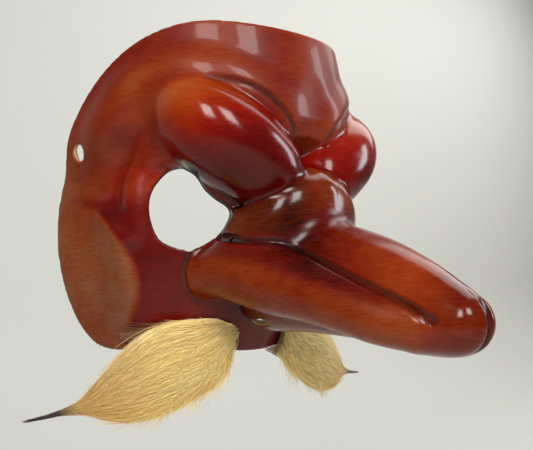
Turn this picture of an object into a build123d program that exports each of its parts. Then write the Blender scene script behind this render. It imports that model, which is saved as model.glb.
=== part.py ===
from build123d import *
from math import cos, radians, sin
import os

# Long-nosed half mask of moulded leather with a two-tuft hair moustache.
# Origin: middle of the back plane at eye level.  X runs to the wearer's left,
# the nose points to -Y, the rim rests on the back plane Y = 0, Z is up.

# ---- driving dimensions, mm -------------------------------------------------
LEATHER = 2.5            # thickness of the moulded leather
HEAD_HALF_W = 84.0       # half width of the mask at the temples
BROW_REACH = 123.0       # forehead, forward of the back plane
CHEEK_HALF_W = 83.0      # half width of the mask at the cheeks
CHEEK_REACH = 88.0       # face below the brow, forward of the back plane
BROW_LEVEL = 22.0        # height where the brow overhangs the eye sockets
NOSE_END = 197.0         # last full section of the nose, forward of the back plane
EYE_CENTRE = (45.0, -72.0, -6.0)
EYE_TURN = 34.0          # each eye hole looks this far outwards, degrees
STRAP_R = 4.5            # radius of the punched strap hole in each temple
STRAP_AT = (-20.5, 30.0)         # strap hole centre in the side view (y, z)
NOSTRIL_AT = (12.5, -84.0)       # middle of a nostril slot in plan (x, y)
NOSTRIL_SLOT = (13.0, 3.6)       # length and width of a nostril slot
HIDE = 1.4               # thickness of the hide the moustache grows from
GAP = 0.3                # clearance between the soft pieces and the leather

# side view of the mask edge (y, z): up the front of the top edge, down the
# back to the wall, under the cheek and forward to the lip
EDGE = [(-123, 81), (-112, 84), (-98, 87), (-86, 87.2), (-72, 84.5), (-58, 79), (-43.5, 70), (-29, 58),
        (-16, 43.5), (-6, 26), (-0.6, 8), (0, -8), (-0.3, -30), (-0.6, -48), (-2.4, -63), (-9.5, -73.5),
        (-21, -77.3), (-36, -77.5), (-50, -77.5), (-60, -80), (-66, -86), (-69, -92)]

# eye hole seen square on: (towards the nose, up) from its middle
EYE_OUTLINE = [(-4, 15), (-10.3, 13.6), (-15.7, 9), (-20, 2.7), (-21.8, -5.6), (-20, -16),
               (-15.4, -23.4), (-3.3, -28), (6.2, -25.2), (14.3, -19.7), (19.4, -11.4),
               (18.6, -6.6), (12.5, -2.2), (7, 3.2), (2.6, 10.7)]

# rolls moulded into the leather: (x, y, z, radius) stations on the wearer's left
BRIDGE = [(0, -92, -42.5, 25), (0, -120, -41, 23.5), (0, -150, -47.8, 20), (0, -172, -57, 17.3),
          (0, -187, -65.5, 15.3), (0, -NOSE_END, -71.5, 13.8)]
KEEL = [(0, -84, -53, 19), (0, -110, -56, 17.5), (0, -140, -61, 16), (0, -165, -67.5, 14.3),
        (0, -185, -72.5, 12.3)]
WING = [(36, -69, -41, 11.5), (31, -84, -40, 15), (25, -108, -46, 17), (21, -128, -52.5, 15.2),
        (18, -148, -60.5, 13), (14.5, -165, -67.8, 11.8), (10, -180, -72.5, 10.5)]
ARCH = [(74, -30, 22, 7), (72, -46, 42, 9), (65, -66, 52, 9), (52, -86, 55, 9), (38, -101, 49, 8),
        (24, -112, 38, 5.5)]
SOCKET = [(66, -50, -18, 5), (67, -51, -4, 6.5), (65, -56, 9, 7.5), (59, -66, 18, 7)]
CHEEK = [(74, -28, -4, 5), (70, -39, -10, 6.5), (65, -47, -24, 7), (61.5, -46.5, -44, 6.5),
         (60, -40, -57, 5)]

# brow bulge: centre, radii along its length, across and outwards
BROW_CENTRE = (37, -94.5, 25)
BROW_RADII = (40, 23.5, 29)
BROW_DIR = (-46, -28, -43)
BROW_OUT = (0.60, -0.79, 0.10)

# moustache tuft on the wearer's left: (x, y, z, half height, half thickness)
TUFT = [(15, -67, -83, 2.5, 1.6), (19, -66, -84, 8, 4.5), (28, -64, -85, 14, 7), (42, -61, -87, 18, 9),
        (56, -55, -89.5, 21, 10), (70, -50, -94, 17, 9), (82, -46, -98.5, 11.5, 7),
        (91, -44, -101.5, 6.5, 5), (98, -42, -103, 3.6, 3.2), (105, -40, -104.4, 2.3, 2.1),
        (112, -38, -105.5, 1.7, 1.6), (118, -36.3, -106.3, 1.3, 1.3), (123, -35, -107, 1, 1)]


def ellipsoid(centre, radii, x_dir=(1, 0, 0), z_dir=(0, 0, 1), grow=0.0):
    """Solid ellipsoid with its radii along its own axes."""
    ball = scale(Sphere(1.0), by=tuple(r + grow for r in radii))
    return Plane(origin=centre, x_dir=x_dir, z_dir=z_dir) * ball


def upper_face(grow):
    """Forehead, cut off flat where it overhangs the eyes."""
    form = ellipsoid((0, 0, 47), (HEAD_HALF_W, BROW_REACH, 165), grow=grow)
    return form & Pos(0, 0, BROW_LEVEL - grow + 100) * Box(400, 400, 200)


def lower_face(grow):
    """Eye band, cheeks and lip."""
    form = ellipsoid((0, 0, -6), (CHEEK_HALF_W, CHEEK_REACH, 111), grow=grow)
    return form & Pos(0, 0, BROW_LEVEL + 8 - 150) * Box(400, 400, 300)


def smooth_run(stations, steps=3):
    """Stations filled in along a smooth curve, steps per gap."""
    ends = [[2 * a - b for a, b in zip(stations[i], stations[j])] for i, j in ((0, 1), (-1, -2))]
    rows = [ends[0]] + [list(s) for s in stations] + [ends[1]]
    run = []
    for before, a, b, after in zip(rows, rows[1:], rows[2:], rows[3:]):
        for t in [k / steps for k in range(steps)]:
            run.append([0.5 * (2 * q + (r - p) * t + (2 * p - 5 * q + 4 * r - s) * t * t
                               + (3 * q - p - 3 * r + s) * t ** 3)
                        for p, q, r, s in zip(before, a, b, after)])
    return run + [list(stations[-1])]


def roll(stations, grow=0.0, steps=3, x_dir=(1, 0, 0)):
    """Round bar through (x, y, z, radius) stations with domed ends."""
    run = smooth_run(stations, steps)
    pts = [Vector(*s[:3]) for s in run]
    rad = [s[3] + grow for s in run]
    first = (pts[1] - pts[0]).normalized()
    last = (pts[-1] - pts[-2]).normalized()
    dome = [(sin(radians(a)), cos(radians(a))) for a in (75, 50, 25)]
    rings = [(pts[0] - first * rad[0] * s, first, rad[0] * c) for s, c in dome]
    rings.append((pts[0], first, rad[0]))
    for i in range(1, len(pts) - 1):
        rings.append((pts[i], (pts[i + 1] - pts[i - 1]).normalized(), rad[i]))
    rings.append((pts[-1], last, rad[-1]))
    rings += [(pts[-1] + last * rad[-1] * s, last, rad[-1] * c) for s, c in reversed(dome)]
    return loft([Plane(origin=p, x_dir=x_dir, z_dir=d) * Circle(r) for p, d, r in rings])


def face_forms(grow):
    """What the leather is moulded over on the wearer's left, grown by grow."""
    knot = ellipsoid((0, -109, -10), (34, 23, 19), grow=grow)
    brow = ellipsoid(BROW_CENTRE, BROW_RADII, BROW_DIR, BROW_OUT, grow=grow)
    arch = roll(ARCH, grow, steps=1, x_dir=(0, 0, 1))
    return [upper_face(grow), lower_face(grow), roll(BRIDGE, grow), roll(KEEL, grow), knot, brow,
            roll(WING, grow), arch, roll(SOCKET, grow)]


def moustache_block():
    """Solid through every tuft station."""
    planes = [Plane(origin=s[:3], x_dir=(0, 1, 0), z_dir=(1, 0, 0)) for s in TUFT]
    return loft([p * Ellipse(s[4], s[3]) for p, s in zip(planes, TUFT)])


eye_nose_ward = Vector(-cos(radians(EYE_TURN)), -sin(radians(EYE_TURN)), 0)
eye_plane = Plane(origin=EYE_CENTRE, x_dir=eye_nose_ward, z_dir=eye_nose_ward.cross(Vector(0, 0, 1)))
outside = face_forms(0.0) + [roll(CHEEK)]
inside = face_forms(-LEATHER)
under_hide = lower_face(GAP)
over_hide = lower_face(GAP + HIDE)
under_hair = lower_face(2 * GAP + HIDE)
tuft_block = moustache_block()

with BuildPart() as hollow:
    for form in inside:
        add(form)

with BuildPart() as leather_shell:
    for form in outside:
        add(form)
    add(hollow.part, mode=Mode.SUBTRACT)
    # trimmed edge; only the wearer's left half is kept here
    with BuildSketch(Plane.YZ):
        with BuildLine():
            edge = Spline(*EDGE)
            Polyline(edge @ 1, (-90, -110), (-240, -110), (-240, 110), (-125, 110), edge @ 0)
        make_face()
    extrude(amount=120, mode=Mode.INTERSECT)
    with BuildSketch(eye_plane):
        with BuildLine():
            Spline(*EYE_OUTLINE, periodic=True)
        make_face()
    extrude(amount=24, both=True, mode=Mode.SUBTRACT)
    with BuildSketch(Plane.YZ):
        with Locations(STRAP_AT):
            Circle(STRAP_R)
    extrude(amount=120, mode=Mode.SUBTRACT)
    with BuildSketch(Plane.XY.offset(-100)):
        with Locations(NOSTRIL_AT):
            SlotOverall(*NOSTRIL_SLOT, rotation=78)
    extrude(amount=60, mode=Mode.SUBTRACT)
    mirror(about=Plane.YZ)

# strip of hide glued along the lower edge of the cheek
with BuildPart() as moustache_hide_left:
    add(over_hide)
    add(under_hide, mode=Mode.SUBTRACT)
    with Locations((37, -60, -71)):
        Box(34, 60, 10, mode=Mode.INTERSECT)

with BuildPart() as moustache_hide_right:
    add(moustache_hide_left.part)
    mirror(about=Plane.YZ, mode=Mode.REPLACE)

# hair swept sideways from the hide to a thin twisted tip
with BuildPart() as moustache_hair_left:
    add(tuft_block)
    add(under_hair, mode=Mode.SUBTRACT)

with BuildPart() as moustache_hair_right:
    add(moustache_hair_left.part)
    mirror(about=Plane.YZ, mode=Mode.REPLACE)

os.makedirs("parts", exist_ok=True)
leather_shell.part.label = "leather_shell"
export_step(leather_shell.part, "parts/leather_shell.step")
moustache_hide_left.part.label = "moustache_hide_left"
export_step(moustache_hide_left.part, "parts/moustache_hide_left.step")
moustache_hide_right.part.label = "moustache_hide_right"
export_step(moustache_hide_right.part, "parts/moustache_hide_right.step")
moustache_hair_left.part.label = "moustache_hair_left"
export_step(moustache_hair_left.part, "parts/moustache_hair_left.step")
moustache_hair_right.part.label = "moustache_hair_right"
export_step(moustache_hair_right.part, "parts/moustache_hair_right.step")
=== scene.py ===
"""Looks of a long-nosed leather half mask with a two-tuft hair moustache.

The face is sculpted as a signed distance field, in millimetres, from rolls, bulges and
grooves pressed into two plain head forms, then hollowed to the leather's thickness.
Sculpting coordinates are (side, forward, up): side = |x|, forward = -y, up = z.
"""
from math import cos, pi, radians, sin
import bpy
import numpy as np
import openvdb
from mathutils import Matrix, Vector


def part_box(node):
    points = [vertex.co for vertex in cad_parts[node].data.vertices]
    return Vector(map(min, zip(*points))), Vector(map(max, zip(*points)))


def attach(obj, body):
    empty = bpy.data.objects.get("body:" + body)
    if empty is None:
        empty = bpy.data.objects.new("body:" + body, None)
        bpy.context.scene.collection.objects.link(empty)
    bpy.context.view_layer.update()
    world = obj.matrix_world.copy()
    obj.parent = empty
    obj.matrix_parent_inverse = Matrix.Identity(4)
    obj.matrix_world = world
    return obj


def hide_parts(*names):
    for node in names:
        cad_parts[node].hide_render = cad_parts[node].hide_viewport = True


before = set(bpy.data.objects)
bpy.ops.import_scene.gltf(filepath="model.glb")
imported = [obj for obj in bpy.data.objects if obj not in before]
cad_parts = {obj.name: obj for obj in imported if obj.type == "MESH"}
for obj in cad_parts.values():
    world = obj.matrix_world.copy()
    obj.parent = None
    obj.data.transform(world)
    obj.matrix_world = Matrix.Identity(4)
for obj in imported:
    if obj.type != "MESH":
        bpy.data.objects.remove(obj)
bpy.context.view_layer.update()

# ---- driving sizes, in mm -------------------------------------------------------
MM = 0.001
REACH = -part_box("leather_shell")[0].y / MM        # nose tip, forward of the wall plane
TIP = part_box("moustache_hair_left")[1].x / MM     # how far a tuft's twisted tip reaches to the side
HALF_W = 83.0                         # half width at the temples
LEATHER = 2.3                         # thickness of the leather
VOXEL = 1.2         # mesh step of the leather
HAIRS = 4400       # strands in each of a tuft's two layers
MASK_LOW = (-90, -4, -96)             # corners of the space that the leather is meshed in
MASK_HIGH = (90, REACH + 8, 98)
AXES = np.array([1, -1, 1])           # turns (side, forward, up) into (x, y, z) and back

# ---- head forms: centre, radii ----------------------------------------------------
FOREHEAD = ((0, 0, 47), (HALF_W + 1, 123, 165))
CHEEKS = ((0, 0, -6), (HALF_W, 88, 111))
# the forehead form ends at a level that climbs to the side: level, at this side, climb
BROW_LEVEL, LEVEL_SIDE, LEVEL_CLIMB = 22, 30, 0.12

# ---- trimmed edge in the side view (forward, up) ------------------------------------
EDGE = [(123, 81), (112, 84), (98, 87), (86, 87.2), (72, 84.5), (58, 79), (43.5, 70), (29, 58),
        (16, 43.5), (6, 26), (0.6, 8), (0, -8), (0.3, -30), (0.6, -48), (2.4, -63), (9.5, -73.5),
        (21, -77.3), (36, -77.5), (50, -77.5), (60, -80), (66, -86), (69, -92)]
FRONT = [(90, -110), (240, -110), (240, 110), (125, 110)]      # closes the outline in front of the face

# ---- holes ----------------------------------------------------------------------------
EYE_MIDDLE = (45, 72, -6)
EYE_TURN = radians(34)
EYE_TILT = radians(4)
EYE_BACK = 30                         # how far behind its middle the eye hole's cut goes
# the eye hole seen square on: (towards the nose, up) from its middle
EYE_OUTLINE = [(-4, 15), (-10.3, 13.6), (-15.7, 9), (-20, 2.7), (-21.8, -5.6), (-20, -16),
               (-15.4, -23.4), (-3.3, -28), (6.2, -25.2), (14.3, -19.7), (19.4, -11.4),
               (18.6, -6.6), (12.5, -2.2), (7, 3.2), (2.6, 10.7)]
STRAP_HOLE = (20.5, 30, 4.5)          # forward, up, radius
STRAP_SIDE = 60                       # the strap hole is cut outwards from here
NOSTRIL = (12.5, 84, 6.5, 1.8)        # side, forward, half length, half width
NOSTRIL_TURN = radians(12)
NOSTRIL_UP = (-90, -50)               # levels between which the nostril is cut

# ---- rolls standing out of the head forms: (side, forward, up, radius, rise) ----------
ARCH = [(79, 36, 20, 14, 0), (79, 41, 38, 12, 2), (74, 55, 54, 11, 3.2), (66, 74, 61, 11, 3.2),
        (54, 94, 60, 10, 2.6), (43, 106, 56, 9, 1.8), (31, 115, 49, 8, 1), (22, 119, 42, 8, 0)]
SOCKET = [(68, 49, -16, 7, 1), (66, 53, -4, 9, 3), (65, 54, 9, 10, 4.2), (61, 60, 20, 9, 4.6),
          (55, 67, 25, 7, 4), (50, 75, 25, 6, 2.5)]
CHEEK_BUMP = [(73.5, 36, -8, 6, 0.5), (71, 41, -13, 6, 2), (69, 44, -19, 6, 0.5)]
# the flap of the cheek behind this side-view line (forward, up) stands out by its rise
FLAP = [(-30, 14), (6, 6), (18, 2), (30, -3), (40, -11), (46, -21), (48.5, -31), (49, -40),
        (46.5, -50), (38.5, -62), (28, -73), (18, -95), (-30, -95)]
FLAP_RISE = 2.6
FLAP_NONE, FLAP_FULL = 8, -22         # levels where the flap's rise starts and is complete

# ---- hollows pressed between them: (side, forward, up, radius, depth) -------------------
SOCKET_VALLEY = [(64, 75, 49, 22, 0.5), (69, 62, 38, 22, 1.8), (72, 50, 24, 20, 3),
                 (72.5, 44, 8, 18, 3), (73, 41, -4, 15, 1.2)]
GLABELLA = [(0, 123, 46, 20, 0), (0, 121, 32, 20, 2), (0, 120, 14, 20, 4.5), (0, 118, 4, 20, 5)]
CHEEK_SCOOP = [(78, 20, -14, 30, 1), (75, 24, -36, 34, 1.8), (72, 20, -56, 30, 1.2)]
# fine lines engraved in the surface
BROW_LINE = [(50, 98, 55, 3, 0), (42, 107, 53, 3, 0.4), (33, 113, 49, 2.5, 0.7),
             (25, 117, 43, 2.5, 0.7), (17, 119.6, 34, 2, 0.6), (11, 120.6, 24, 2, 0.3)]
WING_LINE = [(33, 83, -26, 2.2, 0.5), (28.5, 93, -25, 2.2, 0.9), (25, 107, -29, 2.2, 0.9),
             (22, 126, -36.4, 2.2, 0.9), (19, 148, -47.3, 2.2, 1), (15, 166.8, -58.5, 2.2, 1.1),
             (12, 180, -65.8, 2.5, 1.2), (10, 191.7, -69.6, 3.5, 1.1)]
WING_END = [(42, 74.4, -25, 2, 0.3), (46.4, 71, -28, 2, 0.8), (48, 68, -35, 2, 0.8),
            (47.5, 66.5, -42, 2, 0.8), (45, 65.7, -48.5, 2, 0.8), (40, 67, -54.5, 2, 0.5)]
TIP_LINE = [(0, 204, -57, 3, 0.2), (0, 209, -62, 2.5, 0.9), (0, 211, -70, 2.5, 1.2),
            (0, 208, -78, 2.5, 1.2), (0, 201, -84, 3, 0.4)]

# ---- free forms: (side, forward, up, radius) --------------------------------------------
KNOT = [(0, 112, -7.5, 19), (9, 111, -10, 18.6), (18, 107.5, -15.5, 16), (25, 99.5, -18.5, 12),
        (29.5, 90, -17, 8)]
# edge of the socket over the eye hole, in front of the brow's underside
LID = [(61, 62, 20, 3.5), (52.5, 70.5, 20.5, 4), (46.5, 74.5, 17.5, 4.2), (41.5, 78, 10.5, 4.2),
       (38, 81, 4, 4.2), (33.5, 84, -1.5, 4.2), (28, 87.5, -7.5, 4)]
TIP_R = 13.8                          # radius of the nose tip
BRIDGE = [(0, 92, -42.5, 25), (0, 120, -41, 23.5), (0, 150, -47.8, 20), (0, 172, -57, 17.3),
          (0, 187, -65.5, 15.3), (0, REACH - TIP_R, -71.5, TIP_R)]
KEEL = [(0, 84, -53, 19), (0, 110, -56, 17.5), (0, 140, -61, 16), (0, 165, -67.5, 14.3),
        (0, 185, -72.5, 12.3)]
WING = [(36, 69, -41, 11.5), (31, 84, -40, 15), (25, 108, -46, 17), (21, 128, -52.5, 15.2),
        (18, 148, -60.5, 13), (14.5, 165, -67.8, 11.8), (10, 180, -72.5, 10.5)]
# brow bulges: centre, radii along its length, across and outwards
BROW_ALONG, BROW_OUT = (-46, 28, -43), (0.60, 0.79, 0.10)
BROW_MAIN = ((37, 94.5, 25), (40, 23.5, 29))
BROW_TIP = ((20, 104.5, 8.5), (17, 17, 17))
BROW_SIDE = (38, 72)                  # the brow is creased off up to here, and melts in from there
BROW_CREASE, BROW_MELT = 2.5, 15      # its blend where it is creased off, and what melting in adds
# how far each form melts into those before it
BLEND = {"forehead": 16, "cheeks": 14, "valley": 10, "flap": 1.5, "flap_edge": 5, "scoop": 8,
         "glabella": 6, "arch": 9, "socket": 7, "cheek_bump": 6, "brow_tip": 10, "lid": 4,
         "keel": 9, "wing": 6, "knot": 13, "nose": 3, "line": 1.0, "lining": 0.6, "edge": 1.2,
         "hole": 1.0}
FAR_OFF = 20.0                        # beyond this a bar has no say in the shape
FOLD = 0.3                            # rounding where the two halves meet


# ---- distance fields ----------------------------------------------------------
def smooth_min(a, b, k):
    """Union of two fields, blended over k."""
    h = np.maximum(k - np.abs(a - b), 0) / k
    return np.minimum(a, b) - h * h * k * 0.25


def smooth_max(a, b, k):
    """Intersection of two fields, blended over k."""
    return -smooth_min(-a, -b, k)


def ellipsoid(p, centre, radii, along=None, out=None):
    """Distance to an ellipsoid, whose first radius may lie along and third point out."""
    q = p - np.array(centre, np.float32)
    if along is not None:
        x = np.array(along, float) / np.linalg.norm(along)
        y = np.array(out, float) - x * np.dot(out, x)
        y /= np.linalg.norm(y)
        turn = np.array([x, np.cross(x, y), y], np.float32)
        q = q @ turn.T
    r = np.array(radii, np.float32)
    k0 = np.sqrt(((q / r) ** 2).sum(1))
    k1 = np.sqrt(((q / (r * r)) ** 2).sum(1))
    return k0 * (k0 - 1) / np.maximum(k1, 1e-6)


def curve_through(rows, steps=5):
    """Catmull-Rom curve through rows of numbers."""
    p = np.array(rows, float)
    q = np.vstack([2 * p[0] - p[1], p, 2 * p[-1] - p[-2]])
    out = []
    for a, b, c, d in zip(q, q[1:], q[2:], q[3:]):
        for t in np.arange(steps) / steps:
            out.append(0.5 * (2 * b + (c - a) * t + (2 * a - 5 * b + 4 * c - d) * t * t
                              + (3 * b - a - 3 * c + d) * t ** 3))
    return np.vstack(out + [q[-2]])


def bar(p, rows, steps=5):
    """Round bar through (side, forward, up, radius) rows; exact up to FAR_OFF from it."""
    run = curve_through(rows, steps).astype(np.float32)
    pad = run[:, 3].max() + FAR_OFF
    close = np.all((p > run[:, :3].min(0) - pad) & (p < run[:, :3].max(0) + pad), axis=1)
    near = p[close]
    best = np.full(len(near), FAR_OFF, np.float32)
    for a, b in zip(run, run[1:]):
        ab = b[:3] - a[:3]
        q = near - a[:3]
        t = np.clip(q @ ab / np.dot(ab, ab), 0, 1)
        q -= t[:, None] * ab
        gap = np.sqrt(np.einsum("ij,ij->i", q, q)) - (a[3] + (b[3] - a[3]) * t)
        np.minimum(best, gap, out=best)
    whole = np.full(len(p), FAR_OFF, np.float32)
    whole[close] = best
    return whole


def polygon(x, y, outline):
    """Signed distance to a closed outline, negative inside."""
    near = np.full(x.shape, 1e9, np.float32)
    side = np.ones(x.shape, np.float32)
    for (ax, ay), (bx, by) in zip(outline, outline[-1:] + outline[:-1]):
        ex, ey, wx, wy = bx - ax, by - ay, x - ax, y - ay
        t = np.clip((wx * ex + wy * ey) / (ex * ex + ey * ey), 0, 1)
        near = np.minimum(near, (wx - ex * t) ** 2 + (wy - ey * t) ** 2)
        above, below, left = y >= ay, y < by, ex * wy > ey * wx
        side = np.where((above & below & left) | (~above & ~below & ~left), -side, side)
    return side * np.sqrt(near)


def head(p):
    """The two plain head forms."""
    top = ellipsoid(p, *FOREHEAD)
    top = smooth_max(top, BROW_LEVEL - p[:, 2] + LEVEL_CLIMB * (p[:, 0] - LEVEL_SIDE), BLEND["forehead"])
    return smooth_min(top, ellipsoid(p, *CHEEKS), BLEND["cheeks"])


def slope(field, p, step=0.4):
    """Unit gradient of a field, from four points around each."""
    corners = np.array([(1, -1, -1), (-1, -1, 1), (-1, 1, -1), (1, 1, 1)])
    grad = sum(c * field(p + c * step)[:, None] for c in corners)
    return grad / np.maximum(np.linalg.norm(grad, axis=1, keepdims=True), 1e-9)


def laid_on(form, rows, sign):
    """Rows of (side, forward, up, radius, rise or depth) as bar rows: each point is moved
    onto the form and then in (sign -1) or out (sign 1) so that the bar stands proud
    of, or cuts into, the surface by its last number."""
    bars = []
    for side, forward, up, radius, amount in curve_through(rows, 2):
        q = np.array([[side, forward, up]])
        for _ in range(5):
            d, n = form(q)[0], slope(form, q)[0]
            q = q - d * n
        q = q + sign * n * (radius - amount)
        bars.append((*q[0], radius))
    return bars


EYE_LINE = [tuple(r) for r in curve_through(EYE_OUTLINE + EYE_OUTLINE[:1], 3)[:-1]]
EDGE_LINE = [tuple(r) for r in curve_through(EDGE, 4)] + FRONT
FLAP_LINE = [tuple(r) for r in curve_through(FLAP, 3)]
ARCH_BAR, SOCKET_BAR, CHEEK_BAR = [laid_on(head, rows, -1) for rows in (ARCH, SOCKET, CHEEK_BUMP)]
GLABELLA_BAR, VALLEY_BAR, SCOOP_BAR = [laid_on(head, rows, 1)
                                       for rows in (GLABELLA, SOCKET_VALLEY, CHEEK_SCOOP)]


def brow_bulge(p):
    """The heavy brow: a long bulge over the eye and a round one at its tip by the nose."""
    return smooth_min(ellipsoid(p, *BROW_MAIN, BROW_ALONG, BROW_OUT),
                      ellipsoid(p, *BROW_TIP, BROW_ALONG, BROW_OUT), BLEND["brow_tip"])


def moulded(p):
    """Surface of the face without its fine lines."""
    d = head(p)
    d = smooth_max(d, -bar(p, VALLEY_BAR, 4), BLEND["valley"])
    rise = FLAP_RISE * np.clip((FLAP_NONE - p[:, 2]) / (FLAP_NONE - FLAP_FULL), 0, 1)
    flap = smooth_max(d - rise, polygon(p[:, 1], p[:, 2], FLAP_LINE), BLEND["flap_edge"])
    d = smooth_min(d, flap, BLEND["flap"])
    d = smooth_max(d, -bar(p, SCOOP_BAR, 4), BLEND["scoop"])
    d = smooth_max(d, -bar(p, GLABELLA_BAR, 4), BLEND["glabella"])
    d = smooth_min(d, bar(p, ARCH_BAR, 5), BLEND["arch"])
    d = smooth_min(d, bar(p, SOCKET_BAR, 4), BLEND["socket"])
    d = smooth_min(d, bar(p, CHEEK_BAR, 4), BLEND["cheek_bump"])
    outer = np.clip((p[:, 0] - BROW_SIDE[0]) / (BROW_SIDE[1] - BROW_SIDE[0]), 0, 1)
    d = smooth_min(d, brow_bulge(p), BROW_CREASE + BROW_MELT * outer * outer)
    d = smooth_min(d, bar(p, LID, 6), BLEND["lid"])
    nose = smooth_min(bar(p, BRIDGE, 14), bar(p, KEEL, 8), BLEND["keel"])
    nose = smooth_min(nose, bar(p, WING, 14), BLEND["wing"])
    nose = smooth_min(nose, bar(p, KNOT, 9), BLEND["knot"])
    return smooth_min(d, nose, BLEND["nose"])


LINE_BARS = [laid_on(moulded, rows, 1) for rows in (BROW_LINE, WING_LINE, WING_END, TIP_LINE)]


def face(p):
    """Outer surface of the face, before it is trimmed and pierced."""
    d = moulded(p)
    for rows in LINE_BARS:
        d = smooth_max(d, -bar(p, rows, 3), BLEND["line"])
    return d


def eye_hole(p):
    """Cut of the eye hole, square to its own slanted plane."""
    out = np.array([sin(EYE_TURN), cos(EYE_TURN)])
    q = p - np.array(EYE_MIDDLE)
    deep = q[:, 0] * out[0] + q[:, 1] * out[1]
    nose_ward = -q[:, 0] * out[1] + q[:, 1] * out[0]
    hole = polygon(nose_ward, p[:, 2] + deep * sin(EYE_TILT), EYE_LINE)
    return smooth_max(hole, -deep - EYE_BACK, 1)


def strap_hole(p):
    """Round cut through the temple, from side to side."""
    forward, up, radius = STRAP_HOLE
    hole = np.hypot(p[:, 1] - forward, p[:, 2] - up) - radius
    return np.maximum(hole, STRAP_SIDE - p[:, 0])


def nostril(p):
    """Slot with round ends, cut upwards into the underside of the nose."""
    side, forward, half, width = NOSTRIL
    q = p - np.array([side, forward, 0])
    along = q[:, 1] * cos(NOSTRIL_TURN) + q[:, 0] * sin(NOSTRIL_TURN)
    across = q[:, 0] * cos(NOSTRIL_TURN) - q[:, 1] * sin(NOSTRIL_TURN)
    slot = np.hypot(np.maximum(np.abs(along) - half + width, 0), across) - width
    return np.maximum(slot, np.maximum(p[:, 2] - NOSTRIL_UP[1], NOSTRIL_UP[0] - p[:, 2]))


def folded(p):
    """Points of both halves brought to the wearer's left, smoothly across the middle."""
    return np.stack([np.sqrt(p[:, 0] ** 2 + FOLD ** 2), p[:, 1], p[:, 2]], 1).astype(np.float32)


def leather(p):
    """The hollow, trimmed and pierced mask."""
    q = folded(p)
    d = smooth_max(face(q), -(moulded(q) + LEATHER), BLEND["lining"])
    d = smooth_max(d, polygon(q[:, 1], q[:, 2], EDGE_LINE), BLEND["edge"])
    for hole in (eye_hole(q), strap_hole(q), nostril(q)):
        d = smooth_max(d, -hole, BLEND["hole"])
    return d


# ---- meshes -----------------------------------------------------------------------
BLOCK = 4                             # steps along each side of the blocks the space is searched in
BAND = 3.0                            # the field is cut off this far from the surface, in mm
HALF_DIAGONAL = 0.87                  # of a cube, with room to spare, as a share of its side


def in_chunks(field, p, size=150000):
    """A field at many points, a part of them at a time to save memory."""
    return np.concatenate([field(p[i:i + size]) for i in range(0, len(p), size)])


def level_set(field, low, high, step):
    """Mesh of field = 0 between two corners; the field is the same on both sides of x = 0."""
    n = [int(np.ceil((b - a) / (step * BLOCK))) * BLOCK for a, b in zip(low, high)]
    half = int(np.ceil(high[0] / (step * BLOCK))) * BLOCK
    axes = [np.arange(half + 1) * step] + [low[i] + np.arange(n[i] + 1) * step for i in (1, 2)]
    values = np.full((half + 1, n[1] + 1, n[2] + 1), BAND, np.float32)
    mids = [np.arange(0, len(a) - 1, BLOCK) for a in axes]
    grid = np.stack(np.meshgrid(*mids, indexing="ij"), -1).reshape(-1, 3)
    origin = np.array([a[0] for a in axes])
    middle = origin + (grid + BLOCK / 2) * step
    near = np.abs(in_chunks(field, middle)) < BLOCK * step * HALF_DIAGONAL + step
    span = np.arange(BLOCK + 1)
    cells = np.stack(np.meshgrid(span, span, span, indexing="ij"), -1).reshape(-1, 3)
    index = (grid[near][:, None] + cells).reshape(-1, 3)
    flat = np.unique(np.ravel_multi_index(index.T, values.shape))
    index = np.stack(np.unravel_index(flat, values.shape), 1)
    values.reshape(-1)[flat] = np.clip(in_chunks(field, origin + index * step), -BAND, BAND)
    both = np.concatenate([values[:0:-1], values])
    volume = openvdb.FloatGrid(BAND)
    volume.copyFromArray(both)
    points, quads = volume.convertToQuads()
    points = points * step + np.array([-half * step, low[1], low[2]])
    return points, quads


def mesh_edges(faces):
    """Each edge of the faces once, as pairs of point numbers."""
    sides = faces.shape[1]
    pairs = np.concatenate([faces[:, [i, (i + 1) % sides]] for i in range(sides)])
    return np.unique(np.sort(pairs, 1), axis=0)


def smoothed(points, edges, rounds):
    """Points after rounds of averaging with their neighbours."""
    count = np.bincount(edges.ravel(), minlength=len(points))
    ends = np.concatenate([edges[:, 0], edges[:, 1]])
    others = np.concatenate([edges[:, 1], edges[:, 0]])
    for _ in range(rounds):
        total = np.stack([np.bincount(ends, points[others, k], len(points)) for k in range(3)], 1)
        points = 0.5 * points + 0.5 * total / count[:, None]
    return points


def placed(name, data):
    """Object for a mesh, lamp or camera, put into the scene."""
    thing = bpy.data.objects.new(name, data)
    bpy.context.scene.collection.objects.link(thing)
    return thing


def fill(mesh, points, corners, starts):
    """Gives an empty mesh its points, in metres, and its smooth faces: the point number of every
    face corner in turn, and where each face's corners start."""
    mesh.vertices.add(len(points))
    mesh.vertices.foreach_set("co", points.astype(np.float32).ravel())
    mesh.loops.add(len(corners))
    mesh.loops.foreach_set("vertex_index", corners.astype(np.int32))
    mesh.polygons.add(len(starts))
    mesh.polygons.foreach_set("loop_start", starts.astype(np.int32))
    mesh.update(calc_edges=True)
    mesh.polygons.foreach_set("use_smooth", [True] * len(starts))


def mesh_from_lists(name, points, faces):
    """Smooth mesh from points in sculpting coordinates and faces of any size."""
    mesh = bpy.data.meshes.new(name)
    mesh.from_pydata(row_coords(points).tolist(), [], faces)
    mesh.polygons.foreach_set("use_smooth", [True] * len(mesh.polygons))
    return mesh


def read_points(mesh):
    """A mesh's points as rows of x, y, z in metres."""
    co = np.empty(len(mesh.vertices) * 3, np.float32)
    mesh.vertices.foreach_get("co", co)
    return co.reshape(-1, 3).astype(float)


def note(mesh, name, values):
    """Stores one number per point for the material."""
    mesh.attributes.new(name, "FLOAT", "POINT").data.foreach_set("value", values.astype(np.float32))


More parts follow.
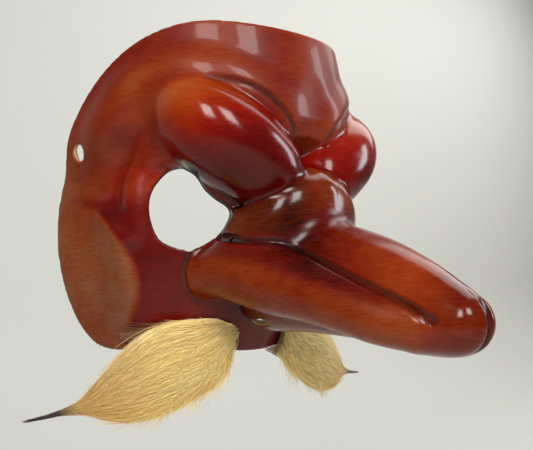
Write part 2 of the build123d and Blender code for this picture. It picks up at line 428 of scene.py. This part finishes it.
def sculpt_coords(points):
    """Metres in the row frame to (side, forward, up) in millimetres."""
    return points * AXES / MM


def row_coords(p):
    """(side, forward, up) in millimetres to metres in the row frame."""
    return p * AXES * MM


# ---- leather mask ---------------------------------------------------------------------
LINING_KEPT = 0.62                    # share of the faces left after the lining is thinned out
NORMAL_REACH = 0.8                    # mm around a point that its shading looks at
NEAR_ROUNDS, WIDE_ROUNDS = 3, 90      # rounds of smoothing that creases and swells are held against
CREASE, SWELL = 0.35, 2.5             # mm off the smoothed face that count as full
BROW_LIT_LEVELS = (2, 50)                 # the brow is painted from dark to bright over these levels: painted shade on its underside, painted light on its top
FORM_EDGE = (2.5, 0.5)                # mm off a form where its dye starts, and where it is full
LINE_EDGE = (0.8, -0.4)               # the same for the painted shade in the engraved lines
INK_WIDTH = 1.2                       # of the black rim around the eye hole
# the finish on each part of the face: how light, how orange and how glossy; the arch's is a painted sheen,
# lighter and more orange along its crest
GROUND_DYE, ARCH_SHEEN, TEMPLE_DYE = (0.36, 0.50, 0.22), (0.46, 0.85, 0.5), (0.36, 0.75, 0.35)
SOCKET_DYE, FLAP_DYE, CHEEK_DYE = (0.48, 0.42, 0.5), (0.38, 0.9, 0.35), (0.22, 0.0, 0.5)
TIP_DYE = (0.20, 0.4, 0.95)


def weight(value, start, end):
    """0 at start, 1 at end, eased between."""
    t = np.clip((value - start) / (end - start), 0, 1)
    return t * t * (3 - 2 * t)


def wing_dye(p):
    """Dark red along the top of the wing, orange brown below it."""
    run = curve_through(WING, 6)
    middle = np.interp(p[:, 1], run[:, 1], run[:, 2])
    above = weight(p[:, 2] - middle, 4, 12)
    return 0.36 - 0.19 * above, 0.60 - 0.3 * above, 0.6


def dye_pattern(p):
    """How light, how orange and how glossy the finish is at each point, with painted light on the arch's
    crest and the brow's top, and painted shade under the brow.
    """
    side, forward, up = p[:, 0], p[:, 1], p[:, 2]
    finish = [np.full(len(p), value) for value in GROUND_DYE]

    def lay(amount, dye):
        for values, new in zip(finish, dye):
            values += (new - values) * amount

    # painted sheen: the arch's crest is lighter and more orange
    lay(weight(bar(p, ARCH_BAR, 2), 1.5, 0.2) * weight(forward, 110, 80), ARCH_SHEEN)
    lay(weight(forward, 62, 30) * weight(up, 50, 25), TEMPLE_DYE)
    in_front_of_flap = weight(polygon(forward, up, FLAP_LINE), -1.5, 2)
    lay(weight(up, 24, 10) * weight(forward, 30, 44), SOCKET_DYE)
    lay(weight(up, 14, -20), FLAP_DYE)
    lay(weight(up, 8, -8) * in_front_of_flap, CHEEK_DYE)
    lay(weight(bar(p, WING, 8), *FORM_EDGE), wing_dye(p))
    nose = smooth_min(bar(p, BRIDGE, 6), bar(p, KEEL, 6), BLEND["keel"])
    lay(weight(nose, *FORM_EDGE), (0.17 + 0.22 * weight(forward, 120, 160), 0.48, 0.8))
    lay(weight(bar(p, KNOT, 6), *FORM_EDGE), (0.14 + 0.14 * weight(side, 22, 8), 0.6, 0.9))
    # painted light and shade: the brow turns lighter and more orange towards its top, darker and redder
    # underneath
    high = weight(up, *BROW_LIT_LEVELS)
    lay(weight(brow_bulge(p), 3, 0.5), (0.21 + 0.36 * high, 0.02 + 0.62 * high ** 1.5, 0.95))
    lay(weight(forward, 180, 202), TIP_DYE)
    return finish


def leather_mask():
    """The mask, its points pulled onto the surface, with fewer of them on the lining side."""
    points, quads = level_set(leather, MASK_LOW, MASK_HIGH, VOXEL)
    edges = mesh_edges(quads)
    for _ in range(2):
        points = smoothed(points, edges, 1)
        points -= in_chunks(leather, points)[:, None] * in_chunks(lambda q: slope(leather, q), points)
    mesh = bpy.data.meshes.new("leather_mask")
    fill(mesh, row_coords(points), quads[:, ::-1].ravel(), np.arange(0, quads.size, 4))
    mesh.validate()
    mask = placed("leather_mask", mesh)
    depth = np.clip(-in_chunks(face, folded(points)) / LEATHER, 0, 1)
    group = mask.vertex_groups.new(name="lining")
    group.add([int(i) for i in np.where(depth > 0.9)[0]], 1.0, "REPLACE")
    thin = mask.modifiers.new("thin_lining", "DECIMATE")
    thin.ratio = LINING_KEPT
    thin.vertex_group = "lining"
    thin.vertex_group_factor = 10
    bpy.context.view_layer.update()
    thinned = bpy.data.meshes.new_from_object(mask.evaluated_get(bpy.context.evaluated_depsgraph_get()))
    mask.modifiers.clear()
    mask.data = thinned
    return mask


def note_finish(mesh):
    """Stores what the leather's finish depends on, point by point, and smooth normals."""
    points = sculpt_coords(read_points(mesh))
    half = folded(points)
    normals = in_chunks(lambda q: slope(leather, q, NORMAL_REACH), points)
    links = np.empty(len(mesh.edges) * 2, np.int32)
    mesh.edges.foreach_get("vertices", links)
    links = links.reshape(-1, 2)
    note(mesh, "depth", np.clip(-in_chunks(face, half) / LEATHER, 0, 1))
    for name, rounds, full in (("crease", NEAR_ROUNDS, CREASE), ("swell", WIDE_ROUNDS, SWELL)):
        off = np.einsum("ij,ij->i", points - smoothed(points, links, rounds), normals)
        note(mesh, name, np.clip(off / full, -1, 1))
    for name, values in zip(("light", "orange", "gloss"), dye_pattern(half)):
        note(mesh, name, values)
    # mask for the painted shade in the engraved lines
    note(mesh, "line", weight(np.min([bar(half, rows, 3) for rows in LINE_BARS], axis=0), *LINE_EDGE))
    note(mesh, "eye_rim", np.clip(1 - np.abs(in_chunks(eye_hole, half)) / INK_WIDTH, 0, 1))
    mesh.normals_split_custom_set_from_vertices((normals * AXES).tolist())


mask = leather_mask()
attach(mask, "root")
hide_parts("leather_shell")
note_finish(mask.data)

# ---- moustache ---------------------------------------------------------------------
# the tuft from its root to its tip: (side, forward, up, half height, half thickness)
TUFT = [(15, 67, -80, 5, 3), (20, 66, -80, 11, 5), (28, 64, -81, 16, 7), (42, 61, -84, 19, 9),
        (56, 55, -88, 20, 10), (70, 50, -93.5, 17, 9), (82, 46, -98.5, 10.5, 7),
        (91, 44, -101.5, 4.5, 3.5), (98, 42, -103, 1.5, 1.4), (105, 40, -104.4, 0.9, 0.9),
        (112, 38, -105.5, 0.7, 0.7), (TIP - 1, 35.5, -106.5, 0.4, 0.4)]
TUFT_RUN = curve_through(TUFT, 6)
STEPS = 7                             # lengths of hair between two bends
HAIR_R = 0.13                         # hair radius at the root
LOCKS = 110                           # locks in a layer; the strands of a lock draw together
HIDE_SIDE, HIDE_UP = (19, 55), (-77, -66.5)       # the hide strip the hair grows from
HIDE_MIDDLE, HIDE_SAG = 38, 0.012     # its top edge falls away on both sides of its middle
HIDE_LIFT = (0.25, 1.5)               # its underside and its top, above the cheek
ROOT_LIFT, CLEAR = 1.7, 1.2           # hair roots above the cheek, and the least for any strand
CHEEK_END = -80                       # below this level there is no cheek for strands to clear
# a random number per strand sorts the layer: fluff over the lower edge up to the first share,
# brown stubs lying along the cheek up to the second, short hairs up to the third, long ones up to
# the last, and the rest run into the twisted tip
FLUFF, STUB, SHORT, LONG = 0.14, 0.26, 0.60, 0.95
FLUFF_LENGTH, FLUFF_DROP = (2, 16), (2, 8)
STUB_LENGTH = (5, 15)
LONG_END, TIP_END = (76, 97), (101, TIP - 1.5)    # where long hairs and those of the tip end
LAST_END = 98                         # no hair but those of the tip ends beyond this
STRAYS = 0.90                         # above this share hairs stray three times as far
BODY_SIDE = (24, 90)                  # the dense inside of a tuft starts and ends here
BODY_TALL, BODY_THICK = 0.78, 0.66    # its size as a share of the tuft's
BODY_AROUND = 40                      # points around it


def tuft_at(side):
    """(forward, up, half height, half thickness) of the tuft at a distance to the side."""
    return [np.interp(side, TUFT_RUN[:, 0], TUFT_RUN[:, k]) for k in (1, 2, 3, 4)]


def cheek_forward(side, up):
    """Where the cheek form's surface lies, forward of the wall plane."""
    (_, _, level), (wide_r, deep_r, tall_r) = CHEEKS
    return deep_r * np.sqrt(np.maximum(1 - (side / wide_r) ** 2 - ((up - level) / tall_r) ** 2, 0.01))


def hide_sag(side):
    """How far the hide's top edge has fallen from its highest point."""
    return HIDE_SAG * (side - HIDE_MIDDLE) ** 2


def hair_paths(rng, count, outer):
    """Points along the strands of one layer of a tuft, count x (STEPS + 1) x 3, and a tone
    for each.  The outer layer covers the hide; the inner one fills the tuft."""
    start = rng.uniform(HIDE_SIDE[0] - 2, HIDE_SIDE[1] + 3, count)
    root_up = rng.uniform(HIDE_UP[0] - 3, HIDE_UP[1] + 1.5, count)
    root_up -= hide_sag(start) + 2.0 * np.clip((start - 48) / 10, 0, 1)
    root = np.stack([start, cheek_forward(start, root_up) + ROOT_LIFT, root_up], 1)
    high = np.interp(root_up, (HIDE_UP[0] - 6, HIDE_UP[1]), (-1, 1))
    high = np.clip(high + rng.normal(0, 0.45, count), -1, 1)
    round_off = np.sqrt(1 - 0.85 * high ** 2)
    deep = round_off * (rng.uniform(0.55, 1.05, count) if outer else rng.uniform(-1, 0.9, count))
    lock = rng.integers(0, LOCKS, count)
    lock_high, lock_deep = rng.normal(0, 0.55, LOCKS), rng.normal(0, 0.3, LOCKS)
    kind = rng.random(count)
    reach = start + rng.gamma(6, 5.5, count) + 5
    reach = np.where(kind > SHORT, rng.uniform(*LONG_END, count), reach)
    reach = np.where(kind > LONG, rng.uniform(*TIP_END, count), np.minimum(reach, LAST_END))
    fluff = kind < FLUFF
    reach = np.where(fluff, start + rng.uniform(*FLUFF_LENGTH, count), reach)
    stub = (kind > FLUFF) & (kind < STUB) & outer
    stub_up = HIDE_UP[1] + rng.uniform(-1.5, 1.0, count) - hide_sag(start)
    root_up = np.where(stub, stub_up, root_up)
    drop = np.where(fluff, rng.uniform(*FLUFF_DROP, count), 0.0)
    stray = rng.normal(0, 1, (count, 3)) * np.where(rng.random(count) > STRAYS, 2.6, 0.8)[:, None]
    phase, wave = rng.uniform(0, 2 * pi, (2, count)), rng.gamma(2, 0.28, count)
    paths = np.empty((count, STEPS + 1, 3))
    for k in range(STEPS + 1):
        t = k / STEPS
        side = start + (reach - start) * t
        forward, up, tall, thick = tuft_at(side)
        draw = 0.35 * t
        spread = np.clip(high + lock_high[lock] * draw, -1.05, 1.05)
        flow = np.stack([side, forward + (deep + lock_deep[lock] * draw) * thick,
                         up + spread * tall - drop * t * t], 1)
        ease = min(1.0, t / 0.4)
        ease = ease * ease * (3 - 2 * ease)
        lift = np.array([0, 4.5, 1.5]) * sin(pi * min(1.0, t / 0.55))
        curl = np.stack([np.zeros(count), np.sin(phase[0] + 7 * t), np.sin(phase[1] + 8 * t)], 1)
        free = t * np.clip((100 - side) / 15, 0.08, 1)
        paths[:, k] = (root * (1 - ease) + flow * ease + lift * (1 - ease)
                       + (stray * t + curl * wave[:, None]) * free[:, None])
        outside = cheek_forward(paths[:, k, 0], paths[:, k, 2]) + CLEAR
        on_cheek = (paths[:, k, 2] > CHEEK_END) & (paths[:, k, 1] < outside)
        paths[:, k, 1] = np.where(on_cheek, outside, paths[:, k, 1])
    tone = np.clip(0.55 + 0.2 * rng.normal(0, 1, count) + 0.18 * lock_high[lock], 0.15, 1)
    t = np.linspace(0, 1, STEPS + 1)[None, :]
    side = start[:, None] + rng.uniform(*STUB_LENGTH, count)[:, None] * t
    up = root_up[:, None] + rng.normal(0.4, 1.6, count)[:, None] * t - 0.5 * t * t
    lying = np.stack([side, cheek_forward(side, up) + 1.5 + 1.5 * np.sin(pi * t), up], 2)
    return np.where(stub[:, None, None], lying, paths), np.where(stub, 0.0, tone)


def strands(name, paths, tone, side_sign):
    """Tapering three-sided hairs along the paths, closed at both ends."""
    count, rings = paths.shape[:2]
    ahead = np.gradient(paths, axis=1)
    ahead /= np.linalg.norm(ahead, axis=2, keepdims=True)
    across = np.cross(ahead, np.array([0.1, 0.2, 1.0]))
    across /= np.linalg.norm(across, axis=2, keepdims=True)
    rise = np.cross(ahead, across)
    t = np.linspace(0, 1, rings)
    radius = HAIR_R * (1 - 0.75 * t ** 2)
    corner = [0, 2 * pi / 3, 4 * pi / 3]
    tube = np.stack([paths + radius[None, :, None] * (cos(a) * across + sin(a) * rise) for a in corner], 2)
    co = tube.reshape(-1, 3) * np.array([side_sign, 1, 1])
    first = (np.arange(count) * rings * 3)[:, None, None]
    k = (np.arange(rings - 1) * 3)[None, :, None]
    walls = []
    for c in range(3):
        d = (c + 1) % 3
        walls.append(np.concatenate([first + k + c, first + k + d, first + k + 3 + d, first + k + 3 + c], 2))
    walls = np.concatenate(walls, 1).reshape(-1, 4)
    caps = np.concatenate([first[:, 0] + np.array([[2, 1, 0]]),
                           first[:, 0] + (rings - 1) * 3 + np.array([[0, 1, 2]])])
    mesh = bpy.data.meshes.new(name)
    fill(mesh, row_coords(co), np.concatenate([walls.ravel(), caps.ravel()]),
         np.concatenate([np.arange(len(walls)) * 4, walls.size + np.arange(len(caps)) * 3]))
    if side_sign < 0:
        mesh.flip_normals()
    note(mesh, "along", np.tile(np.repeat(t, 3), count))
    note(mesh, "tone", np.repeat(tone, rings * 3))
    note(mesh, "reach", co[:, 0] * side_sign / TIP)
    return placed(name, mesh)


def hair_body(name, side_sign):
    """The dense inside of a tuft, which shows as shadow between the strands."""
    rows = TUFT_RUN[(TUFT_RUN[:, 0] > BODY_SIDE[0]) & (TUFT_RUN[:, 0] < BODY_SIDE[1])]
    n = BODY_AROUND
    around = np.linspace(0, 2 * pi, n, endpoint=False)
    co = []
    for side, forward, up, tall, thick in rows:
        ring = np.stack([np.full(n, side), forward + BODY_THICK * thick * np.cos(around),
                         up + BODY_TALL * tall * np.sin(around)], 1)
        outside = np.where(ring[:, 2] > -82, cheek_forward(side, ring[:, 2]) + 2, 0)
        ring[:, 1] = np.maximum(ring[:, 1], outside)
        co.append(ring)
    co = np.array(co)
    furrows = np.append(np.random.default_rng(5).normal(0, 1, n), 0)
    comb = 1 + 0.05 * np.interp(around, np.linspace(0, 2 * pi, n + 1), furrows)
    middle = co.mean(1, keepdims=True)
    co = middle + (co - middle) * comb[None, :, None]
    co = np.concatenate([co.reshape(-1, 3), co[:1].mean(1), co[-1:].mean(1)])
    co[:, 0] *= side_sign
    last, ends = (len(rows) - 1) * n, len(rows) * n
    faces = [[i + j, i + (j + 1) % n, i + n + (j + 1) % n, i + n + j]
             for i in range(0, last, n) for j in range(n)]
    faces += [[(j + 1) % n, j, ends] for j in range(n)]
    faces += [[last + j, last + (j + 1) % n, ends + 1] for j in range(n)]
    mesh = mesh_from_lists(name, co, faces)
    if side_sign > 0:
        mesh.flip_normals()
    note(mesh, "along", np.full(len(co), 0.3))
    note(mesh, "tone", np.full(len(co), 0.45))
    note(mesh, "reach", np.abs(co[:, 0]) / TIP)
    return placed(name, mesh)


def hide_strip(name, side_sign):
    """Thin strip of skin with an uneven edge, lying on the cheek under the hair."""
    n_side, n_up = 40, 12
    co = []
    for lift in HIDE_LIFT:
        for i in range(n_side):
            side = HIDE_SIDE[0] + (HIDE_SIDE[1] - HIDE_SIDE[0]) * i / (n_side - 1)
            ragged = 0.7 * sin(i * 1.9) * sin(i * 0.7 + 2)
            top_up = HIDE_UP[1] - hide_sag(side) + ragged
            for j in range(n_up):
                up = HIDE_UP[0] + (top_up - HIDE_UP[0]) * j / (n_up - 1)
                co.append((side, cheek_forward(side, up) + lift, up))

    def at(i, j, layer):
        return (layer * n_side + i) * n_up + j

    faces = []
    for i in range(n_side - 1):
        for j in range(n_up - 1):
            faces.append([at(i, j, 0), at(i, j + 1, 0), at(i + 1, j + 1, 0), at(i + 1, j, 0)])
            faces.append([at(i, j, 1), at(i + 1, j, 1), at(i + 1, j + 1, 1), at(i, j + 1, 1)])
    border = ([(i, 0) for i in range(n_side)] + [(n_side - 1, j) for j in range(1, n_up)]
              + [(i, n_up - 1) for i in range(n_side - 2, -1, -1)]
              + [(0, j) for j in range(n_up - 2, 0, -1)])
    for a, b in zip(border, border[1:] + border[:1]):
        faces.append([at(*a, 0), at(*b, 0), at(*b, 1), at(*a, 1)])
    return placed(name, mesh_from_lists(name, np.array(co) * np.array([side_sign, 1, 1]), faces))


# ---- materials ----------------------------------------------------------------------
def new_material(name):
    """Principled material, a helper that adds linked nodes, its shader and its node tree."""
    mat = bpy.data.materials.new(name)
    mat.use_nodes = True
    tree = mat.node_tree

    def add(kind, inputs=(), **settings):
        node = tree.nodes.new(kind)
        for key, value in settings.items():
            setattr(node, key, value)
        for key, value in dict(inputs).items():
            if isinstance(value, bpy.types.NodeSocket):
                tree.links.new(value, node.inputs[key])
            else:
                node.inputs[key].default_value = value
        return node

    return mat, add, tree.nodes["Principled BSDF"], tree


def ramp(add, value, stops):
    """Colour ramp over a value, from (place, colour) stops."""
    node = add("ShaderNodeValToRGB", {"Fac": value})
    band = node.color_ramp
    band.elements[0].position, band.elements[0].color = stops[0][0], (*stops[0][1], 1)
    band.elements[1].position, band.elements[1].color = stops[-1][0], (*stops[-1][1], 1)
    for place, colour in stops[1:-1]:
        band.elements.new(place).color = (*colour, 1)
    return node.outputs["Color"]


def step_up(add, value, start, end):
    """0 up to start, 1 from end on."""
    return ramp(add, value, [(start, (0, 0, 0)), (end, (1, 1, 1))])


def maths(add, kind, a, b=0.0, clamp=False):
    """Result of a maths node."""
    return add("ShaderNodeMath", {0: a, 1: b}, operation=kind, use_clamp=clamp).outputs[0]


def mixed(add, amount, a, b):
    """Colour a, turning into b with the amount."""
    return add("ShaderNodeMix", {"Factor": amount, 6: a, 7: b}, data_type="RGBA").outputs[2]


def clouds(add, place, scale, **inputs):
    """Noise from 0 to 1."""
    return add("ShaderNodeTexNoise", {"Vector": place, "Scale": scale, **inputs}).outputs["Fac"]


def stored(add, name):
    """A number that note() stored with each point."""
    return add("ShaderNodeAttribute", attribute_name=name).outputs["Fac"]


def varied(add, value, *parts):
    """A value moved up and down by (amount, noise) parts."""
    for amount, noise in parts:
        swing = maths(add, "MULTIPLY", maths(add, "SUBTRACT", noise, 0.5), amount)
        value = maths(add, "ADD", value, swing)
    return value


def dyed_leather():
    """Oxblood dye with painted light on the swells and painted shade in the creases and engraved lines, a
    burnished face, a pale cut edge and a natural lining."""
    mat, add, shader, tree = new_material("dyed_leather")
    place = add("ShaderNodeTexCoord").outputs["Object"]
    swell, crease = stored(add, "swell"), stored(add, "crease")
    depth, eye_rim = stored(add, "depth"), stored(add, "eye_rim")
    cloud = clouds(add, place, 34.0, Detail=6.0, Roughness=0.65)
    patch = clouds(add, place, 15.0, Detail=2.0)
    stretched = add("ShaderNodeMapping", {"Vector": place, "Rotation": (0.2, 0.5, 0.35),
                                          "Scale": (1.0, 1.0, 7.0)}).outputs[0]
    brush = clouds(add, stretched, 150.0, Detail=4.0, Roughness=0.65)
    # dye
    orange = varied(add, stored(add, "orange"), (0.7, cloud), (0.6, patch), (0.3, brush))
    # painted light and shade: the swells turn more orange, the broad hollows redder
    orange = maths(add, "ADD", orange, maths(add, "MULTIPLY", swell, 0.12))
    dye = ramp(add, orange, [(0.0, (0.34, 0.0, 0.0)), (0.3, (0.42, 0.008, 0.0)), (0.6, (0.44, 0.05, 0.002)),
                             (0.85, (0.42, 0.085, 0.015)), (1.0, (0.38, 0.13, 0.05))])
    light = varied(add, stored(add, "light"), (0.5, patch), (0.25, cloud), (0.3, brush))
    # painted light and shade: small ridges lighter, creases darker
    light = maths(add, "ADD", light, maths(add, "MULTIPLY", crease, 0.12), clamp=True)
    dye = mixed(add, light, (0.012, 0.001, 0.0005, 1), dye)
    # painted shade in the creases and the engraved lines
    crease_shade = maths(add, "MULTIPLY", maths(add, "ADD", crease, 0.12), -1.2, clamp=True)
    crease_shade = maths(add, "MAXIMUM", crease_shade, stored(add, "line"))
    dye = mixed(add, maths(add, "MULTIPLY", crease_shade, 0.75), dye, (0.012, 0.003, 0.002, 1))
    # undyed inside and cut edge, with ink around the eye hole
    raw = ramp(add, cloud, [(0.3, (0.33, 0.19, 0.09)), (0.7, (0.46, 0.30, 0.16))])
    inside = step_up(add, depth, 0.12, 0.3)
    colour = mixed(add, inside, dye, raw)
    ink = maths(add, "MULTIPLY", eye_rim, maths(add, "LESS_THAN", depth, 0.97))
    colour = mixed(add, ink, colour, (0.006, 0.004, 0.004, 1))
    tree.links.new(colour, shader.inputs["Base Color"])
    # burnish
    rough = maths(add, "MULTIPLY_ADD", stored(add, "gloss"), -0.34)
    rough.node.inputs[2].default_value = 0.50
    rough = varied(add, rough, (0.25, brush), (0.12, cloud))
    rough = maths(add, "ADD", rough, maths(add, "MULTIPLY", inside, 0.35))
    tree.links.new(rough, shader.inputs["Roughness"])
    shader.inputs["Coat Weight"].default_value = 0.12
    shader.inputs["Coat Roughness"].default_value = 0.08
    shader.inputs["Specular IOR Level"].default_value = 0.17
    # pores, brush marks and shallow dents
    pores = add("ShaderNodeTexVoronoi", {"Vector": place, "Scale": 900.0}).outputs["Distance"]
    dents = clouds(add, place, 90.0, Detail=1.0)
    relief = maths(add, "ADD", maths(add, "MULTIPLY", pores, 0.05), maths(add, "MULTIPLY", brush, 0.25))
    relief = maths(add, "ADD", relief, maths(add, "MULTIPLY", dents, 0.8))
    bump = add("ShaderNodeBump", {"Height": relief, "Strength": 0.25, "Distance": 0.0006})
    tree.links.new(bump.outputs[0], shader.inputs["Normal"])
    return mat


def cream_hair():
    """Cream hair, brown at the roots, gold towards the ends and near black on the twisted tip."""
    mat, add, shader, tree = new_material("cream_hair")
    along, tone, reach = stored(add, "along"), stored(add, "tone"), stored(add, "reach")
    body = ramp(add, tone, [(0.0, (0.26, 0.12, 0.035)), (0.12, (0.78, 0.44, 0.09)), (0.35, (0.96, 0.68, 0.2)),
                            (0.7, (0.99, 0.82, 0.34)), (1.0, (1.0, 0.92, 0.58))])
    root = ramp(add, along, [(0.0, (1, 1, 1)), (0.20, (0, 0, 0))])
    body = mixed(add, maths(add, "MULTIPLY", root, 0.8), body, (0.20, 0.09, 0.025, 1))
    gold = step_up(add, reach, 0.50, 0.76)
    body = mixed(add, maths(add, "MULTIPLY", gold, 0.62), body, (0.60, 0.30, 0.06, 1))
    body = mixed(add, step_up(add, reach, 0.78, 0.86), body, (0.045, 0.018, 0.008, 1))
    tree.links.new(body, shader.inputs["Base Color"])
    shader.inputs["Roughness"].default_value = 0.5
    shader.inputs["Sheen Weight"].default_value = 0.3
    return mat


def natural_hide():
    """Dry natural skin."""
    mat, add, shader, tree = new_material("natural_hide")
    place = add("ShaderNodeTexCoord").outputs["Object"]
    cloud = clouds(add, place, 120.0, Detail=6.0)
    colour = ramp(add, cloud, [(0.3, (0.30, 0.19, 0.09)), (0.7, (0.50, 0.36, 0.20))])
    tree.links.new(colour, shader.inputs["Base Color"])
    shader.inputs["Roughness"].default_value = 0.8
    bump = add("ShaderNodeBump", {"Height": cloud, "Strength": 0.5, "Distance": 0.0005})
    tree.links.new(bump.outputs[0], shader.inputs["Normal"])
    return mat


def pale_floor():
    """Matt, nearly white."""
    mat, _, shader, _ = new_material("pale_floor")
    shader.inputs["Base Color"].default_value = (0.72, 0.72, 0.68, 1)
    shader.inputs["Roughness"].default_value = 0.9
    return mat


leather_finish, hair_finish, hide_finish = dyed_leather(), cream_hair(), natural_hide()
mask.data.materials.clear()
mask.data.materials.append(leather_finish)
for side_name, side_sign in (("left", 1), ("right", -1)):
    rng = np.random.default_rng(11 + side_sign)
    over = strands(f"hair_over_{side_name}", *hair_paths(rng, HAIRS, True), side_sign)
    under = strands(f"hair_under_{side_name}", *hair_paths(rng, HAIRS, False), side_sign)
    inner = hair_body(f"hair_body_{side_name}", side_sign)
    strip = hide_strip(f"hide_{side_name}", side_sign)
    for thing, finish, node, slot_name in ((over, hair_finish, "moustache_hair_", "hair"),
                                           (under, hair_finish, "moustache_hair_", "hair"),
                                           (inner, hair_finish, "moustache_hair_", "hair"),
                                           (strip, hide_finish, "moustache_hide_", "hide")):
        thing.data.materials.append(finish)
        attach(thing, "root")
        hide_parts(node + side_name)

# ---- studio, in metres ----------------------------------------------------------------
FLOOR_UP, BACKDROP, BEND = -0.45, 1.6, 0.5        # floor level, backdrop's distance, bend between
FLOOR_FRONT, FLOOR_SIDE, BACKDROP_UP = -8.0, 9.0, 2.6
MASK_MIDDLE = (0, -0.09, 0)
WARM, COOL, NEUTRAL = (1.0, 0.97, 0.93), (0.86, 0.93, 1.0), (1.0, 1.0, 0.98)


def sweep():
    """Pale floor that curves up into a backdrop far behind the mask."""
    side_view = [(FLOOR_FRONT, FLOOR_UP), (BACKDROP - BEND, FLOOR_UP)]
    side_view += [(BACKDROP - BEND + BEND * sin(a), FLOOR_UP + BEND - BEND * cos(a))
                  for a in np.linspace(0.1, pi / 2, 12)]
    side_view.append((BACKDROP, BACKDROP_UP))
    co = [(x, y, z) for y, z in side_view for x in (-FLOOR_SIDE, FLOOR_SIDE)]
    faces = [[2 * i, 2 * i + 1, 2 * i + 3, 2 * i + 2] for i in range(len(side_view) - 1)]
    mesh = bpy.data.meshes.new("floor")
    mesh.from_pydata(co, [], faces)
    mesh.polygons.foreach_set("use_smooth", [True] * len(faces))
    mesh.materials.append(pale_floor())
    return placed("floor", mesh)


def lamp(name, towards, away, width, height, watts, colour, aim=MASK_MIDDLE):
    """Soft area light in a direction seen from the middle of the mask, turned to the aim."""
    light = bpy.data.lights.new(name, "AREA")
    light.shape, light.size, light.size_y = "RECTANGLE", width, height
    light.energy, light.color = watts, colour
    thing = placed(name, light)
    thing.location = Vector(MASK_MIDDLE) + Vector(towards).normalized() * away
    thing.rotation_euler = (thing.location - Vector(aim)).to_track_quat("Z", "Y").to_euler()


sweep()
lamp("window_left", (-0.80, -0.5, 0.45), 1.3, 0.34, 0.46, 11, WARM)
lamp("window_middle", (-0.34, -0.82, 0.48), 1.3, 0.34, 0.46, 11, WARM)
lamp("window_right", (0.9, -0.55, 0.35), 1.4, 0.3, 0.7, 8, COOL)
lamp("wall_wash", (2.2, 0.3, 1.6), 2.8, 3.4, 1.2, 38, NEUTRAL, aim=(2.0, 1.6, -0.1))
world = bpy.data.worlds.new("studio")
bpy.context.scene.world = world
world.use_nodes = True
background = world.node_tree.nodes["Background"]
background.inputs["Color"].default_value = (0.9, 0.9, 0.86, 1)
background.inputs["Strength"].default_value = 0.2

# ---- camera: low, on the wearer's right, looking up past the nose -------------------
CAMERA_AT = (-0.262, -0.361, -0.064)
turn, rise, roll = radians(43), radians(7.4), radians(-3.3)
look = Vector((sin(turn) * cos(rise), cos(turn) * cos(rise), sin(rise)))
level_right = Vector((cos(turn), -sin(turn), 0))
level_up = level_right.cross(look)
right = level_right * cos(roll) + level_up * sin(roll)
up = level_up * cos(roll) - level_right * sin(roll)
camera = placed("camera", bpy.data.cameras.new("camera"))
camera.data.sensor_width, camera.data.lens = 36, 47.3
camera.data.clip_start = 0.01
camera.matrix_world = Matrix.Translation(CAMERA_AT) @ Matrix((right, up, -look)).transposed().to_4x4()
bpy.context.scene.camera = camera
bpy.context.scene.view_settings.view_transform = "Standard"
